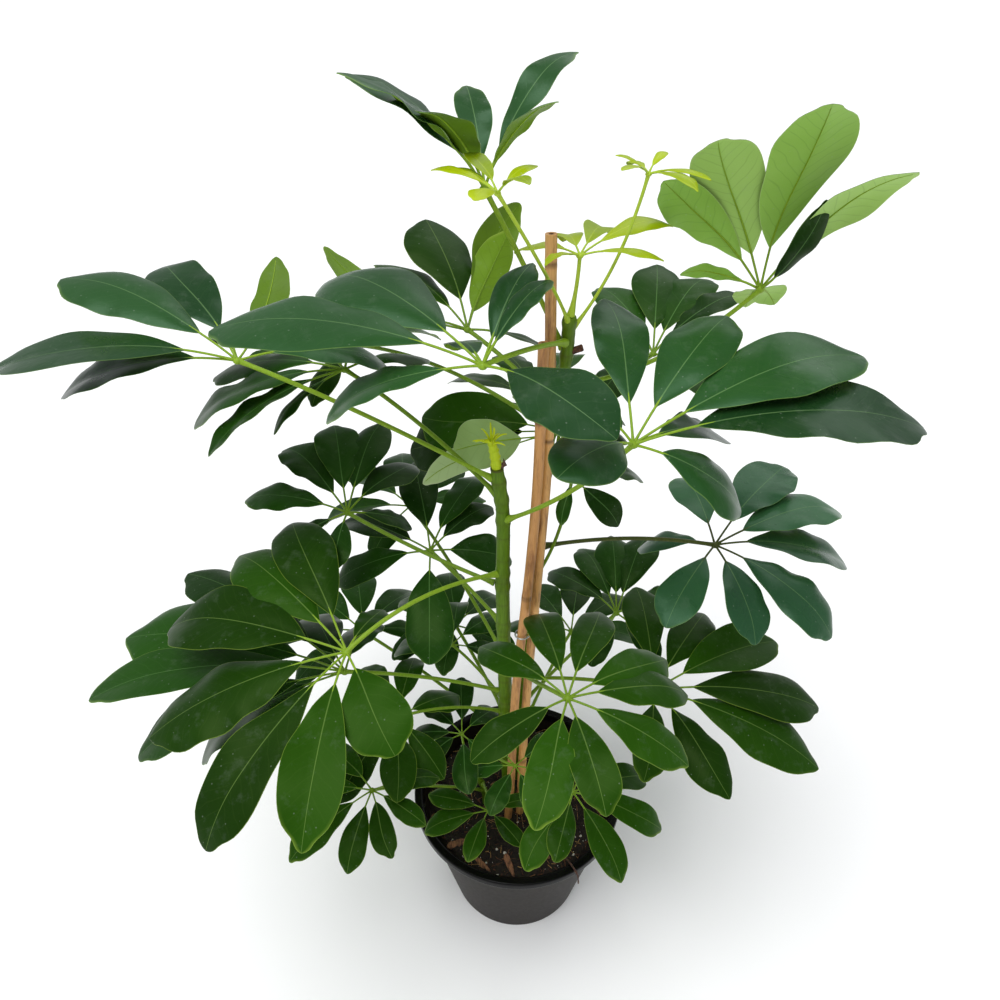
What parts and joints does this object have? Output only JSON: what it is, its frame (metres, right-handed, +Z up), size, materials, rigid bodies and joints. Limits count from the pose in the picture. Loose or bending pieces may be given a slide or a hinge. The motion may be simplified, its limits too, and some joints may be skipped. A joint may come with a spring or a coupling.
{
  "type": "potted umbrella plant",
  "caption": "Bushy umbrella plant with glossy palmate leaves on long stalks, held up by tied bamboo canes, in a round black nursery pot of soil.",
  "frame": {"origin": "centre of the pot's underside, on the surface that the pot stands on", "axes": "+Z up along the pot's axis, +X to the right as the picture shows the plant, +Y away from the viewer"},
  "size_m": [0.6489, 0.493, 0.8093],
  "materials": {
    "pot": "satin",
    "soil": "matte",
    "bamboo": "satin",
    "tie_wire": "satin",
    "stem": "satin",
    "leaf": "satin",
    "shade_leaf": "satin",
    "leaf_underside": "satin",
    "young_leaf": "satin",
    "bark": "matte",
    "dry_stalk": "matte"
  },
  "bodies": {
    "root": {"bark_chip_1": "bark", "bark_chip_2": "bark", "bark_chip_3": "bark", "bark_chip_4": "bark", "bark_chip_5": "bark", "cane_left": "bamboo", "cane_right": "bamboo", "cane_tie": "tie_wire", "fallen_stalk": "dry_stalk", "leaf_back_centre": "leaf", "leaf_back_left": "leaf", "leaf_back_left_low": "shade_leaf", "leaf_back_low": "shade_leaf", "leaf_back_middle": "shade_leaf", "leaf_back_right": "shade_leaf", "leaf_back_right_low": "shade_leaf", "leaf_back_top_left": "leaf", "leaf_behind_canes": "shade_leaf", "leaf_behind_stems": "leaf", "leaf_centre_behind": "shade_leaf", "leaf_centre_left": "leaf", "leaf_crown_shoot": "young_leaf", "leaf_crown_young": "young_leaf", "leaf_front": "leaf", "leaf_left": "leaf", "leaf_left_behind": "shade_leaf", "leaf_left_front": "leaf", "leaf_left_low": "shade_leaf", "leaf_left_middle": "shade_leaf", "leaf_left_under": "leaf", "leaf_low_behind": "shade_leaf", "leaf_low_centre": "leaf", "leaf_low_left": "leaf", "leaf_low_middle": "shade_leaf", "leaf_low_right": "leaf", "leaf_low_young": "shade_leaf", "leaf_middle_small": "shade_leaf", "leaf_right": "leaf", "leaf_right_low": "leaf", "leaf_right_middle": "shade_leaf", "leaf_top_left": "leaf_underside", "leaf_top_left_young": "young_leaf", "leaf_top_right": "leaf_underside", "leaf_turned": "leaf_underside", "pot": "pot", "shoot_on_cut_stem": "young_leaf", "soil": "soil", "stem_left": "stem", "stem_low": "stem", "stem_right": "stem"}
  },
  "joints": []
}
